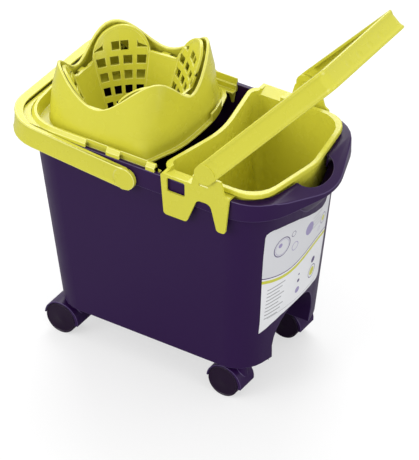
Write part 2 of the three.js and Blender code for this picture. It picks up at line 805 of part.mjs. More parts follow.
function cupSkin() {
  const low = TRAY_FLOOR_Z - TRAY_SKIN / 2;
  const section = (angle) => {
    const top = cupTopZ(angle);
    const r = (z) => cupRadius(angle, z);
    const levels = [0, 0.12, 0.3, 0.6].map((t) => lerp(TRAY_FLOOR_Z, top, t));
    return [
      [r(low), low],
      ...levels.map((z) => [r(z), z]),
      [r(top), top - 1.3],
      [r(top) - 0.9, top],
      [r(top) - CUP_WALL - 0.3, top],
      [r(top) - CUP_WALL - CUP_LIP, top - 1],
      [r(top) - CUP_WALL - CUP_LIP, top - 3],
      [r(top) - CUP_WALL, top - 4.6],
      ...levels.slice(1).reverse().map((z) => [r(z) - CUP_WALL, z]),
      [r(low) - CUP_WALL, low],
    ];
  };
  return ringSkin(section, evenly(72));
}

// How far a direction lies off the middle line of its petal
function offPetal(angle) {
  const quarter = Math.PI / 2;
  return Math.abs(((angle % quarter) + quarter) % quarter - quarter / 2);
}

// The petals are nearly flat panels, with flat plain valleys between them
function panel(off) {
  const edge = rad((HOLE_ANGLE * HOLE_COLUMNS) / 2);
  const across = (a) => 1 + PETAL_FLATNESS * (1 / Math.cos(a) - 1);
  return off <= edge ? across(off) : across(edge) * Math.cos(Math.PI / 4 - edge) / Math.cos(Math.PI / 4 - off);
}

function petalTopZ(angle) {
  return CUP_CREST_Z + CUP_CREST_TILT * Math.cos(angle) - BASKET_DROP;
}

function valleyTopZ(angle) {
  return CUP_VALLEY_Z + CUP_TILT * Math.cos(angle) - BASKET_DROP;
}

function basketRadius(angle, z) {
  const full = PETAL_RADIUS + PETAL_FORWARD * Math.cos(angle);
  const t = (z - BASKET_FLOOR_Z) / (petalTopZ(angle) - BASKET_FLOOR_Z);
  return lerp(BASKET_FLOOR_RADIUS, full, t) * panel(offPetal(angle));
}

// Everything above one petal and the valleys beside it
function abovePetal(side, inset) {
  const middle = rad(45 + 90 * side);
  const edge = rad((HOLE_ANGLE * HOLE_COLUMNS) / 2);
  const valley = basketRadius(middle + Math.PI / 4, valleyTopZ(middle)) * Math.SQRT1_2;
  const half = basketRadius(middle + edge, valleyTopZ(middle)) * Math.sin(edge) - inset;
  const low = valleyTopZ(middle - Math.PI / 4) - inset;
  const high = valleyTopZ(middle + Math.PI / 4) - inset;
  const base = (w) => lerp(low, high, (w / valley + 1) / 2);
  const rise = petalTopZ(middle) - inset - base(0);
  const far = valley * 1.16;
  const outline = [[far, base(far)], [far * 1.45, 500], [-far * 1.45, 500], [-far, base(-far)]];
  const steps = 20;
  for (let i = 0; i <= steps; i++) {
    const turn = (i / steps) * Math.PI;
    const w = -half * Math.cos(turn);
    outline.push([w, base(w) + rise * Math.sin(turn)]);
  }
  const ring = (r) => outline.map(([w, z]) => new THREE.Vector3(
    r * Math.cos(middle) - w * Math.sin(middle),
    r * Math.sin(middle) + w * Math.cos(middle),
    z,
  ));
  return solid(loft([ring(PETAL_RADIUS * 0.3), ring(PETAL_RADIUS * 1.4)]));
}

// Hole seen from the axis, as [angle, height] corners
function holeCorners(side, row, column) {
  const middle = 45 + 90 * side;
  const place = column - (HOLE_COLUMNS - 1) / 2;
  const half = (HOLE_ANGLE * HOLE_SHARE) / 2;
  const z = petalTopZ(rad(middle)) - HOLE_TOP_DROP - row * HOLE_PITCH;
  const low = z - HOLE_HIGH / 2;
  const high = z + HOLE_HIGH / 2;
  const outer = Math.abs(place) > HOLE_COLUMNS / 2 - 1;
  const away = Math.sign(place);
  if (row === 0 && outer) {
    const inside = middle + away * (Math.abs(place) * HOLE_ANGLE - half);
    const outside = middle + away * (Math.abs(place) * HOLE_ANGLE + half);
    return [[inside, low + 2], [outside, low + 2], [outside, low + 3.5], [inside, high]];
  }
  const closer = row === 0 ? 0.62 : 1;
  const narrower = row === 0 ? 0.82 : 1;
  const centre = middle + place * HOLE_ANGLE * closer;
  const wide = half * narrower;
  return [[centre - wide, low], [centre + wide, low], [centre + wide, high], [centre - wide, high]];
}

function wringerBasket() {
  const highest = petalTopZ(0) + 4;
  const angles = [];
  for (let side = 0; side < 4; side++) {
    for (let k = -HOLE_COLUMNS / 2; k <= HOLE_COLUMNS / 2; k++) {
      angles.push(rad(45 + 90 * side + k * HOLE_ANGLE));
    }
  }
  const shellOf = (low, out, inward) => solid(ringSkin((angle) => [
    [basketRadius(angle, low) + out, low],
    [basketRadius(angle, highest) + out, highest],
    [basketRadius(angle, highest) - inward, highest],
    [basketRadius(angle, low) - inward, low],
  ], angles));
  const sides = [0, 1, 2, 3];
  const above = sides.map((side) => abovePetal(side, 0));
  const nearTop = join(sides.map((side) => abovePetal(side, PETAL_RIM)));
  const thick = shellOf(BASKET_FLOOR_Z + 60, PETAL_RIM_PROUD / 3, BASKET_SKIN + PETAL_RIM_PROUD);
  const shell = shellOf(BASKET_FLOOR_Z, 0, BASKET_SKIN);
  const floor = upright(0, 0, BASKET_FLOOR_Z, BASKET_FLOOR_Z + 3, BASKET_FLOOR_RADIUS - 1, 32);
  const holes = [];
  for (const side of sides) {
    for (let row = 0; row < HOLE_ROWS; row++) {
      for (let column = 0; column < HOLE_COLUMNS; column++) {
        const corners = holeCorners(side, row, column);
        const ring = (radius) => corners.map(([a, h]) => {
          return new THREE.Vector3(radius * Math.cos(rad(a)), radius * Math.sin(rad(a)), h);
        });
        holes.push(solid(loft([ring(PETAL_RADIUS * 0.2), ring(PETAL_RADIUS * 1.4)])));
      }
    }
  }
  const seat = TRAY_FLOOR_Z + GAP;
  const collar = ringSkin((angle) => {
    const root = basketRadius(angle, seat) - 1;
    return [
      [root, seat], [COLLAR_RADIUS, seat], [COLLAR_RADIUS, seat + COLLAR_SKIN], [root, seat + COLLAR_SKIN],
    ];
  }, evenly(40));
  const lugs = [];
  for (let k = 0; k < 4; k++) {
    const angle = (k * Math.PI) / 2;
    const top = valleyTopZ(angle) - 1;
    const inner = basketRadius(angle, top) - 1.5;
    const outer = cupEdge(angle) - CUP_WALL - CUP_LIP - 0.7;
    const lug = new THREE.BoxGeometry(outer - inner, LUG_WIDTH, 7);
    lug.translate((outer + inner) / 2, 0, top - 3.5);
    lug.rotateZ(angle);
    lugs.push(solid(lug));
  }
  const drains = [];
  for (let k = 0; k < 6; k++) {
    const angle = rad(60 * k);
    drains.push(upright(26 * Math.cos(angle), 26 * Math.sin(angle), BASKET_FLOOR_Z - 20, BASKET_FLOOR_Z + 20, 6, 12));
  }
  const petals = cut(join([shell, thick.intersect(nearTop)]), above);
  return cut(join([petals, floor, solid(collar), ...lugs]), [...holes, ...drains]);
}

function trayBlock(z0, z1, inset0, inset1) {
  const loop = (inset) => bucketLoop({
    halfWidth: WALL_HALF_WIDTH + TRAY_OUT - inset,
    back: WALL_BACK - TRAY_OUT + inset,
    front: NOSE_TIP,
    backCorner: WALL_BACK_CORNER + TRAY_OUT - inset,
    frontCorner: WALL_FRONT_CORNER,
    backBow: END_BOW,
    frontBow: 30,
  });
  return solid(loft([level(loop(inset0), z0), level(loop(inset1), z1)]));
}

function footBlock(grow, z0, z1) {
  const loop = [];
  for (let i = 0; i < 48; i++) {
    const angle = (i / 48) * Math.PI * 2;
    const r = cupRadius(angle, TRAY_FLOOR_Z) + grow;
    loop.push(new THREE.Vector2(CUP_X + r * Math.cos(angle), r * Math.sin(angle)));
  }
  return solid(loft([level(loop, z0), level(loop, z1)]));
}

// Skirts down the inside of both walls, each arched over the peg of the carrying handle
function traySkirts() {
  const middle = CARRY_PIVOT_X + 4;
  const arch = [[1, 0], [0.75, 0.7], [0.3, 1], [-0.3, 1], [-0.75, 0.7], [-1, 0]];
  const outline = (tip) => [
    { x: middle - 2 * SKIRT_ARCH_HALF, y: TRAY_FLOOR_Z + 8 },
    { x: tip, y: TRAY_FLOOR_Z + 8 },
    { x: tip - 4, y: SKIRT_LOW_Z },
    ...arch.map(([along, up]) => ({
      x: middle + along * SKIRT_ARCH_HALF,
      y: lerp(SKIRT_LOW_Z, SKIRT_ARCH_Z, up),
    })),
    { x: middle - 2 * SKIRT_ARCH_HALF, y: SKIRT_LOW_Z },
  ];
  const outer = WALL_HALF_WIDTH - WALL - 3.5;
  return [
    sidePrism(outline(TRAY_FAR_TIP), outer - TRAY_SKIN, outer),
    sidePrism(outline(TRAY_FAR_TIP), -outer, TRAY_SKIN - outer),
  ];
}

function wringerBody() {
  const low = TRAY_FLOOR_Z - TRAY_SKIN;
  const seat = RIM_Z + GAP;
  const wellInset = WALL + TRAY_OUT + 1.5;
  const ridge = TRAY_RIDGE_WIDTH;
  const upper = join([
    trayBlock(seat, TRAY_EDGE_Z, 0, 0),
    trayBlock(TRAY_EDGE_Z, TRAY_CREST_Z, 0, 4),
  ]);
  const lower = trayBlock(low, seat + 1, wellInset, wellInset);
  const well = trayBlock(TRAY_FLOOR_Z, TRAY_CREST_Z + 1, ridge + 3, ridge - 2);
  const groove = cut(trayBlock(seat - 2, TRAY_EDGE_Z - 1, TRAY_SKIN, TRAY_SKIN), [
    trayBlock(seat - 3, TRAY_EDGE_Z, wellInset + 1, wellInset + 1),
  ]);
  const whole = cut(join([upper, lower]), [well, groove]);
  const armInner = 103;
  const keep = join([
    box(-300, -10, -200, 200, 200, 500),
    footBlock(6, 200, 500),
    box(-60, TRAY_FAR_TIP, armInner, 200, 200, 500),
    box(-60, TRAY_ARM_TIP, -200, -armInner, 200, 500),
  ]);
  const slots = [];
  for (const [x0, x1] of TRAY_SLOTS) {
    for (const side of [-1, 1]) {
      const inner = WALL_HALF_WIDTH - WALL - 0.5;
      const [y0, y1] = [side * inner, side * (inner + 30)].sort((p, q) => p - q);
      slots.push(box(x0, x1, y0, y1, RIM_Z - 60, RIM_Z + 60));
    }
  }
  const mouth = join([
    footBlock(-CUP_WALL, TRAY_FLOOR_Z, 500),
    upright(CUP_X, 0, 200, TRAY_FLOOR_Z + 1, BASKET_MOUTH_RADIUS, 44),
  ]);
  const cup = cupSkin();
  cup.translate(CUP_X, 0, 0);
  const upstand = cut(footBlock(6, low, TRAY_EDGE_Z), [footBlock(3.2, low - 1, TRAY_EDGE_Z + 1)])
    .intersect(box(0, 200, 30, 66, 200, 500));
  return join([cut(whole.intersect(keep), [mouth, ...slots]), solid(cup), upstand, ...traySkirts()]);
}

// ---------------------------------------------------------------- rinse bucket

// Straight sides, a blunt point towards the nose and a hollow back edge that clears the wringer
function rinseLoop(inset, lean, corner) {
  const half = RINSE_HALF_WIDTH - inset;
  const point = RINSE_POINT - inset - lean;
  const back = RINSE_BACK + inset;
  const front = corner - inset / 3;
  return roundedLoop([
    { x: point, y: 0, r: RINSE_POINT_RADIUS },
    { x: point - RINSE_POINT_SLOPE * half, y: half, r: front },
    { x: back - RINSE_BACK_SLOPE * half, y: half, r: RINSE_BACK_CORNER - inset / 3 },
    { x: back, y: 0, r: RINSE_BACK_RADIUS },
    { x: back - RINSE_BACK_SLOPE * half, y: -half, r: RINSE_BACK_CORNER - inset / 3 },
    { x: point - RINSE_POINT_SLOPE * half, y: -half, r: front },
  ]);
}

// Block of the rinse bucket's form; above the lip line the front no longer leans back
function rinseBlock(z0, z1, inset0, inset1, lean0, lean1, corner) {
  const low = level(rinseLoop(inset0, lean0, corner), z0);
  const high = level(rinseLoop(inset1, lean1, corner), z1);
  return solid(loft([low, high]));
}

// Side plate of one moulding: apron down the outside of the rim, tongue, and the ear above it
function apron() {
  const outline = roundedLoop([
    { x: APRON_BACK, y: RINSE_RIM_Z - 2, r: 3 },
    { x: APRON_BACK + 5, y: APRON_LOW_Z, r: 5 },
    { x: ARCH_X - 28, y: APRON_LOW_Z, r: 6 },
    { x: ARCH_X - 12, y: ARCH_TOP_Z, r: 9 },
    { x: ARCH_X + 9, y: ARCH_TOP_Z, r: 9 },
    { x: TONGUE_X - 7, y: APRON_LOW_Z + 2, r: 5 },
    { x: TONGUE_X + 6, y: APRON_LOW_Z + 2, r: 5 },
    { x: APRON_FRONT, y: RINSE_RIM_Z - 8, r: 4 },
    { x: EAR_FRONT + 1, y: RINSE_RIM_Z - 4, r: 6 },
    { x: EAR_X + EAR_RADIUS + 5, y: EAR_TOP_Z, r: EAR_RADIUS * 0.75 },
    { x: EAR_X - EAR_RADIUS - 4, y: EAR_TOP_Z, r: EAR_RADIUS * 0.75 },
    { x: EAR_BACK, y: RINSE_RIM_Z - 6, r: 8 },
  ], 4);
  return outline;
}

function rinseBucket() {
  const lipLow = RINSE_RIM_Z - 6;
  const seat = RIM_Z + GAP;
  const lipTop = RINSE_RIM_Z - 1;
  const low = RINSE_LIP + RINSE_TAPER;
  const parts = [
    rinseBlock(RINSE_FLOOR_Z, lipLow + 1, low, RINSE_LIP, RINSE_FRONT_LEAN, 0, RINSE_BODY_CORNER),
    rinseBlock(lipLow, lipTop, 0, 0, 0, 0, RINSE_LIP_CORNER),
    rinseBlock(lipTop, RINSE_RIM_Z, 0, 1, 0, 0, RINSE_LIP_CORNER),
  ];
  const holes = [];
  for (const side of [-1, 1]) {
    const [y0, y1] = [side * APRON_IN, side * APRON_OUT].sort((p, q) => p - q);
    const root = RINSE_HALF_WIDTH - RINSE_LIP - 1;
    const [y2, y3] = [side * root, side * APRON_OUT].sort((p, q) => p - q);
    parts.push(sidePrism(apron(), y0, y1));
    parts.push(box(APRON_BACK + 1, APRON_FRONT - 1, y2, y3, seat, seat + 3));
    holes.push(box(WINDOW_BACK, WINDOW_FRONT, y0 - 1, y1 + 1, WINDOW_LOW_Z, RIM_Z - 1));
    holes.push(box(EAR_X - 6, EAR_X + 9, y0 - 1, y1 + 1, RINSE_RIM_Z, RINSE_RIM_Z + 3));
  }
  const deep = lipLow + 1 - RINSE_FLOOR_Z;
  const insetAt = (z) => RINSE_LIP + RINSE_WALL + ((lipLow + 1 - z) * RINSE_TAPER) / deep;
  const leanAt = (z) => ((lipLow + 1 - z) * RINSE_FRONT_LEAN) / deep;
  const z0 = RINSE_FLOOR_Z + RINSE_WALL;
  const z1 = RINSE_RIM_Z + 5;
  const room = rinseBlock(z0, z1, insetAt(z0), insetAt(z1), leanAt(z0), leanAt(z1), RINSE_BODY_CORNER);
  const bore = crosswise(BAIL_PIVOT_X, BAIL_PIVOT_Z, -200, 200, PEG_RADIUS + GAP);
  return cut(join(parts), [room, bore, ...holes]);
}

// ---------------------------------------------------------------- materials and assembly

const PURPLE = { color: 0x35254c, roughness: 0.42, metalness: 0 };
const LIME = { color: 0xd4d040, roughness: 0.32, metalness: 0 };
const STEEL = { color: 0xb9bcc0, roughness: 0.3, metalness: 1 };

function mesh(name, geometry, look) {
  const piece = new THREE.Mesh(geometry, new THREE.MeshStandardMaterial(look));
  piece.name = name;
  return piece;
}

const assembly = new THREE.Group();
assembly.add(mesh('outer_bucket', geometryOf(outerBucket()), PURPLE));

const hoodGeometry = geometryOf(castorHood());
for (const place of stemPlaces) {
  const castor = new THREE.Group();
  castor.position.set(place.x, place.y, WHEEL_RADIUS);
  const carrier = new THREE.Group();
  carrier.position.x = -TRAIL;
  castor.add(carrier);
  const stem = castorStem();
  stem.translate(TRAIL, 0, 0);
  const right = mesh(`castor_${place.name}_wheel_right`, castorWheel(), PURPLE);
  const left = mesh(`castor_${place.name}_wheel_left`, castorWheel(), PURPLE);
  left.position.y = WHEEL_SPLIT / 2;
  right.position.y = -WHEEL_SPLIT / 2;
  right.rotation.z = Math.PI;
  carrier.add(mesh(`castor_${place.name}_hood`, hoodGeometry.clone(), PURPLE));
  carrier.add(mesh(`castor_${place.name}_stem`, stem, STEEL));
  carrier.add(mesh(`castor_${place.name}_axle`, castorAxle(), STEEL));
  carrier.add(left);
  carrier.add(right);
  assembly.add(castor);
}

const carry = mesh('carry_handle', geometryOf(carryHandle()), LIME);
carry.geometry.scale(-1, -1, 1);
carry.position.set(CARRY_PIVOT_X, 0, CARRY_PIVOT_Z);
carry.rotation.y = rad(CARRY_RISE);
assembly.add(carry);

const wringer = new THREE.Group();
const basket = mesh('wringer_basket', geometryOf(wringerBasket()), LIME);
basket.position.x = CUP_X;
wringer.add(mesh('wringer_body', geometryOf(wringerBody()), LIME));
wringer.add(basket);
assembly.add(wringer);

assembly.add(mesh('rinse_bucket', geometryOf(rinseBucket()), LIME));
const bail = mesh('rinse_handle', geometryOf(rinseHandle()), LIME);
bail.position.set(BAIL_PIVOT_X, 0, BAIL_PIVOT_Z);
bail.rotation.y = -rad(BAIL_ANGLE);
assembly.add(bail);

// The origin lies under the middle of everything
assembly.updateMatrixWorld(true);
const extent = new THREE.Box3().setFromObject(assembly, true);
assembly.position.x = -(extent.min.x + extent.max.x) / 2;
assembly.updateMatrixWorld(true);

const object = new THREE.Group();
object.add(assembly);

export default object;
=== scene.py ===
"""Two-compartment mop bucket on castors with a wringer and a lift-out rinse bucket, in a studio."""

import math

import bpy
from mathutils import Euler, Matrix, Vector


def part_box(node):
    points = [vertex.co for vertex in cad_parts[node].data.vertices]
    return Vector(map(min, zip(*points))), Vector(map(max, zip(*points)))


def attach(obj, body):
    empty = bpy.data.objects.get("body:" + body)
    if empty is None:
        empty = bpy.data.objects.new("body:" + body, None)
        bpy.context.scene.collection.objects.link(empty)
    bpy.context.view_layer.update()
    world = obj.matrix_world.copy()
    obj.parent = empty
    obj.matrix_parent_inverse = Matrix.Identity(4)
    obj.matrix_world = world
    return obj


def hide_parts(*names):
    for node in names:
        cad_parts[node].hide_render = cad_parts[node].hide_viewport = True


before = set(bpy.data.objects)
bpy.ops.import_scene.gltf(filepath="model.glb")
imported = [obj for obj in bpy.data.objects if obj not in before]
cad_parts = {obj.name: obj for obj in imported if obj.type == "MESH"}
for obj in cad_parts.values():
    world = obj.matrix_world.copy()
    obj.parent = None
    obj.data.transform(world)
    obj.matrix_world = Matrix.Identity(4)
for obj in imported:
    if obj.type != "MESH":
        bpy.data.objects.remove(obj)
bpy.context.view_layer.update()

# ---------------------------------------------------------------- camera
# A long lens looks down on the bucket from over its front right corner.

view_turn = math.radians(32.6)
view_rise = math.radians(35.56)
view_distance = 5.446
aim_point = Vector((0.0047, 0, 0.1879))
towards_camera = Vector((
    math.sin(view_turn) * math.cos(view_rise),
    -math.cos(view_turn) * math.cos(view_rise),
    math.sin(view_rise),
))

camera_lens = bpy.data.cameras.new("camera")
camera_lens.sensor_width = 36
camera_lens.lens = 313
camera_lens.clip_end = 50
camera = bpy.data.objects.new("camera", camera_lens)
bpy.context.collection.objects.link(camera)
camera.location = aim_point + towards_camera * view_distance
camera.rotation_euler = towards_camera.to_track_quat("Z", "Y").to_euler()
bpy.context.scene.camera = camera

# ---------------------------------------------------------------- studio
# A pale floor under a white surround, with one wide soft lamp high at the back, one in front and a
# weaker one at the nose end. The floor and the surround show white where nothing shades them.


def deselect():
    if bpy.context.object and bpy.context.object.mode != "OBJECT":
        bpy.ops.object.mode_set(mode="OBJECT")
    bpy.ops.object.select_all(action="DESELECT")


bpy.context.scene.view_settings.view_transform = "Standard"
surround = bpy.data.worlds.new("surround")
bpy.context.scene.world = surround
surround.use_nodes = True
sky = surround.node_tree.nodes
sky_links = surround.node_tree.links
sky_light = sky["Background"]
sky_light.inputs["Color"].default_value = (1, 1, 1, 1)
path = sky.new("ShaderNodeLightPath")
seen = sky.new("ShaderNodeMath")
seen.operation = "MAXIMUM"
sky_links.new(path.outputs["Is Camera Ray"], seen.inputs[0])
sky_links.new(path.outputs["Is Glossy Ray"], seen.inputs[1])
strength = sky.new("ShaderNodeMapRange")
strength.inputs["To Min"].default_value = 0.92
strength.inputs["To Max"].default_value = 1.0
sky_links.new(seen.outputs[0], strength.inputs["Value"])
sky_links.new(strength.outputs["Result"], sky_light.inputs["Strength"])


def soft_lamp(name, place, size, power):
    """A square lamp that shines on the middle of the bucket, unseen by the camera."""
    bucket_middle = Vector((0, 0, 0.2))
    lamp = bpy.data.lights.new(name, "AREA")
    lamp.shape = "SQUARE"
    lamp.size = size
    lamp.energy = power
    holder = bpy.data.objects.new(name, lamp)
    bpy.context.collection.objects.link(holder)
    holder.location = place
    away = Vector(place) - bucket_middle
    holder.rotation_euler = away.to_track_quat("Z", "Y").to_euler()
    holder.visible_camera = False


soft_lamp("overhead_lamp", place=(-1.0, 1.5, 2.0), size=1.7, power=33)
soft_lamp("front_lamp", place=(-1.1, -2.4, 1.5), size=1.4, power=27)
soft_lamp("side_lamp", place=(2.4, -0.6, 0.5), size=0.9, power=12)

floor_half = 6
deselect()
bpy.ops.mesh.primitive_plane_add(size=2 * floor_half, location=(0, 0, 0))
floor = bpy.context.object
floor.name = "studio_floor"
floor_finish = bpy.data.materials.new("floor_paint")
floor_finish.use_nodes = True
tree = floor_finish.node_tree
paint = tree.nodes["Principled BSDF"]
paint.inputs["Base Color"].default_value = (0.38, 0.38, 0.38, 1)
paint.inputs["Roughness"].default_value = 0.9
paint.inputs["Specular IOR Level"].default_value = 0.1
glow = tree.nodes.new("ShaderNodeEmission")
glow_path = tree.nodes.new("ShaderNodeLightPath")
glow_level = tree.nodes.new("ShaderNodeMath")
glow_level.operation = "MULTIPLY"
glow_level.inputs[1].default_value = 0.58
both = tree.nodes.new("ShaderNodeAddShader")
tree.links.new(glow_path.outputs["Is Camera Ray"], glow_level.inputs[0])
tree.links.new(glow_level.outputs[0], glow.inputs["Strength"])
tree.links.new(paint.outputs[0], both.inputs[0])
tree.links.new(glow.outputs[0], both.inputs[1])
tree.links.new(both.outputs[0], tree.nodes["Material Output"].inputs["Surface"])
floor.data.materials.append(floor_finish)

# ---------------------------------------------------------------- outer bucket
# One deep moulding in dark purple polypropylene: satin walls, a turned-down band round the rim and
# a nose to pour over. The mould leaves a small radius on every edge.


def moulded_plastic(name, colour, deep_colour, roughness, grain, sheen):
    """Moulded plastic: faint flow clouds in its colour, satin grain and slightly uneven gloss."""
    finish = bpy.data.materials.new(name)
    finish.use_nodes = True
    nodes = finish.node_tree.nodes
    links = finish.node_tree.links
    plastic = nodes["Principled BSDF"]
    plastic.inputs["IOR"].default_value = 1.49
    plastic.inputs["Specular IOR Level"].default_value = sheen
    place = nodes.new("ShaderNodeTexCoord")
    clouds = nodes.new("ShaderNodeTexNoise")
    clouds.inputs["Scale"].default_value = 9
    clouds.inputs["Detail"].default_value = 3
    tint = nodes.new("ShaderNodeMix")
    tint.data_type = "RGBA"
    tint.inputs["A"].default_value = (*deep_colour, 1)
    tint.inputs["B"].default_value = (*colour, 1)
    links.new(place.outputs["Object"], clouds.inputs["Vector"])
    links.new(clouds.outputs["Fac"], tint.inputs["Factor"])
    links.new(tint.outputs["Result"], plastic.inputs["Base Color"])
    smears = nodes.new("ShaderNodeTexNoise")
    smears.inputs["Scale"].default_value = 38
    smears.inputs["Detail"].default_value = 4
    gloss = nodes.new("ShaderNodeMapRange")
    gloss.inputs["From Min"].default_value = 0.3
    gloss.inputs["From Max"].default_value = 0.7
    gloss.inputs["To Min"].default_value = roughness - 0.04
    gloss.inputs["To Max"].default_value = roughness + 0.05
    links.new(place.outputs["Object"], smears.inputs["Vector"])
    links.new(smears.outputs["Fac"], gloss.inputs["Value"])
    links.new(gloss.outputs["Result"], plastic.inputs["Roughness"])
    pits = nodes.new("ShaderNodeTexNoise")
    pits.inputs["Scale"].default_value = 1500
    pits.inputs["Detail"].default_value = 2
    relief = nodes.new("ShaderNodeBump")
    relief.inputs["Strength"].default_value = grain
    relief.inputs["Distance"].default_value = 0.0001
    links.new(place.outputs["Object"], pits.inputs["Vector"])
    links.new(pits.outputs["Fac"], relief.inputs["Height"])
    links.new(relief.outputs["Normal"], plastic.inputs["Normal"])
    return finish


def pick(piece):
    """Nothing but the piece is selected, and it is the active object."""
    deselect()
    piece.select_set(True)
    bpy.context.view_layer.objects.active = piece


def smooth(piece, sharp=30):
    """Smooth shading that leaves flat faces flat, and edges over the angle sharp."""
    pick(piece)
    bpy.ops.object.shade_smooth_by_angle(angle=math.radians(sharp))
    flat = piece.modifiers.new("flat_faces", "WEIGHTED_NORMAL")
    flat.keep_sharp = True
    bpy.ops.object.modifier_apply(modifier=flat.name)


def shown_as(node, piece_name, finish, edge_highlight_finish, edge, shape=None, clamp=False):
    """A copy of a CAD piece stands in for it, its small radii paler as a painted edge highlight."""
    sharp = 30
    piece = bpy.data.objects.new(piece_name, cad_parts[node].data.copy())
    bpy.context.collection.objects.link(piece)
    pick(piece)
    bpy.ops.object.mode_set(mode="EDIT")
    bpy.ops.mesh.select_all(action="SELECT")
    bpy.ops.mesh.customdata_custom_splitnormals_clear()
    bpy.ops.mesh.remove_doubles(threshold=0.00002)
    bpy.ops.mesh.dissolve_limited(angle_limit=math.radians(0.6))
    bpy.ops.object.mode_set(mode="OBJECT")
    piece.data.materials.clear()
    piece.data.materials.append(finish)
    piece.data.materials.append(edge_highlight_finish)
    if shape:
        shape(piece)
        pick(piece)
    radius = piece.modifiers.new("mould_radius", "BEVEL")
    radius.limit_method = "ANGLE"
    radius.angle_limit = math.radians(sharp)
    radius.width = edge
    radius.segments = 3
    radius.use_clamp_overlap = clamp
    # The bevel faces take the second finish: the painted edge highlight.
    radius.material = 1
    bpy.ops.object.modifier_apply(modifier=radius.name)
    smooth(piece, sharp)
    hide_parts(node)
    return piece


purple_plastic = moulded_plastic(
    "purple_plastic", colour=(0.0255, 0.0064, 0.057), deep_colour=(0.0232, 0.0058, 0.052),
    roughness=0.36, grain=0.25, sheen=0.2,
)
# Paler purple for the edge radii: a painted highlight along the edges.
purple_edge_highlight = moulded_plastic(
    "purple_edge_highlight", colour=(0.060, 0.032, 0.120), deep_colour=(0.054, 0.028, 0.108),
    roughness=0.34, grain=0.15, sheen=0.5,
)

bucket = shown_as("outer_bucket", "bucket_shell", purple_plastic, purple_edge_highlight, edge=0.0009)
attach(bucket, "bucket")

# ---------------------------------------------------------------- label
# A printed film stuck to the end wall: a wave and bubbles in the bucket's own colours, with ruled
# rows. Its upper edge dips below the pouring nose. Places on it are given across and up, as (y, z).

label_outline = [
    (-0.0790, 0.1135), (-0.0600, 0.1205), (-0.0400, 0.1260), (-0.0200, 0.1288), (0.0000, 0.1300),
    (0.0200, 0.1303), (0.0400, 0.1295), (0.0520, 0.1283), (0.0570, 0.1300), (0.0598, 0.1345),
    (0.0610, 0.1600), (0.0625, 0.1900), (0.0645, 0.2200), (0.0668, 0.2500), (0.0690, 0.2800),
    (0.0668, 0.2880), (0.0610, 0.2850), (0.0560, 0.2720), (0.0500, 0.2640), (0.0400, 0.2618),
    (0.0200, 0.2665), (-0.0050, 0.2745), (-0.0250, 0.2815), (-0.0500, 0.2872), (-0.0760, 0.2905),
    (-0.0820, 0.2900), (-0.0862, 0.2870), (-0.0872, 0.2820), (-0.0865, 0.2500), (-0.0850, 0.2200),
    (-0.0830, 0.1900), (-0.0810, 0.1600), (-0.0795, 0.1350),
]
label_gap = 0.00028
label_start_x = 0.1655
label_start_radius = 0.08
label_middle_z = 0.2
label_low_y = -0.090
label_low_z = 0.110
label_cuts = 43

deselect()
bpy.ops.mesh.primitive_circle_add(
    vertices=len(label_outline), radius=label_start_radius, fill_type="NGON",
    location=(label_start_x, 0, label_middle_z), rotation=(0, math.radians(90), 0),
)
label = bpy.context.object
label.name = "end_label"
bpy.ops.object.transform_apply(location=True, rotation=True, scale=True)
first_y, first_z = label_outline[0]
start = math.atan2(first_z - label_middle_z, first_y)


def turn_from_start(vertex):
    """How far round the circle the vertex is from the outline's first corner, which stays first."""
    rounding = 0.001
    turn = math.atan2(vertex.co.z - label_middle_z, vertex.co.y)
    return (turn - start + rounding) % math.tau


ordered = [vertex.index for vertex in sorted(label.data.vertices, key=turn_from_start)]
for index, (corner_y, corner_z) in zip(ordered, label_outline):
    bpy.ops.object.mode_set(mode="EDIT")
    bpy.ops.mesh.select_mode(type="VERT")
    bpy.ops.mesh.select_all(action="DESELECT")
    bpy.ops.object.mode_set(mode="OBJECT")
    corner = label.data.vertices[index]
    corner.select = True
    step = Vector((label_start_x, corner_y, corner_z)) - corner.co
    bpy.ops.object.mode_set(mode="EDIT")
    bpy.ops.transform.translate(value=step)
# Level and upright cuts let the film follow the wall.
for k in range(1, label_cuts + 1):
    bpy.ops.mesh.select_all(action="SELECT")
    bpy.ops.mesh.bisect(plane_co=(0, 0, label_low_z + k * 0.0042), plane_no=(0, 0, 1))
for k in range(1, label_cuts + 1):
    bpy.ops.mesh.select_all(action="SELECT")
    bpy.ops.mesh.bisect(plane_co=(0, label_low_y + k * 0.0036, 0), plane_no=(0, 1, 0))
bpy.ops.object.mode_set(mode="OBJECT")
onto_wall = label.modifiers.new("onto_wall", "SHRINKWRAP")
onto_wall.target = bucket
onto_wall.wrap_method = "PROJECT"
onto_wall.wrap_mode = "ABOVE_SURFACE"
onto_wall.use_project_x = True
onto_wall.use_negative_direction = True
onto_wall.use_positive_direction = False
onto_wall.offset = label_gap
bpy.ops.object.modifier_apply(modifier=onto_wall.name)
film = label.modifiers.new("film", "SOLIDIFY")
film.thickness = 0.0001
film.offset = 1
bpy.ops.object.modifier_apply(modifier=film.name)
bpy.ops.object.mode_set(mode="EDIT")
bpy.ops.mesh.select_all(action="SELECT")
bpy.ops.mesh.normals_make_consistent(inside=False)
bpy.ops.object.mode_set(mode="OBJECT")
bpy.ops.object.shade_smooth_by_angle(angle=math.radians(40))

label_print = bpy.data.materials.new("label_print")
label_print.use_nodes = True
print_nodes = label_print.node_tree.nodes
print_links = label_print.node_tree.links
label_sheet = print_nodes["Principled BSDF"]
label_sheet.inputs["Roughness"].default_value = 0.3
label_sheet.inputs["Specular IOR Level"].default_value = 0.5
print_place = print_nodes.new("ShaderNodeTexCoord")


def arithmetic(operation, *values):
    """One sum on node outputs or plain numbers."""
    node = print_nodes.new("ShaderNodeMath")
    node.operation = operation
    for socket, value in zip(node.inputs, values):
        if isinstance(value, (int, float)):
            socket.default_value = value
        else:
            print_links.new(value, socket)
    return node.outputs[0]


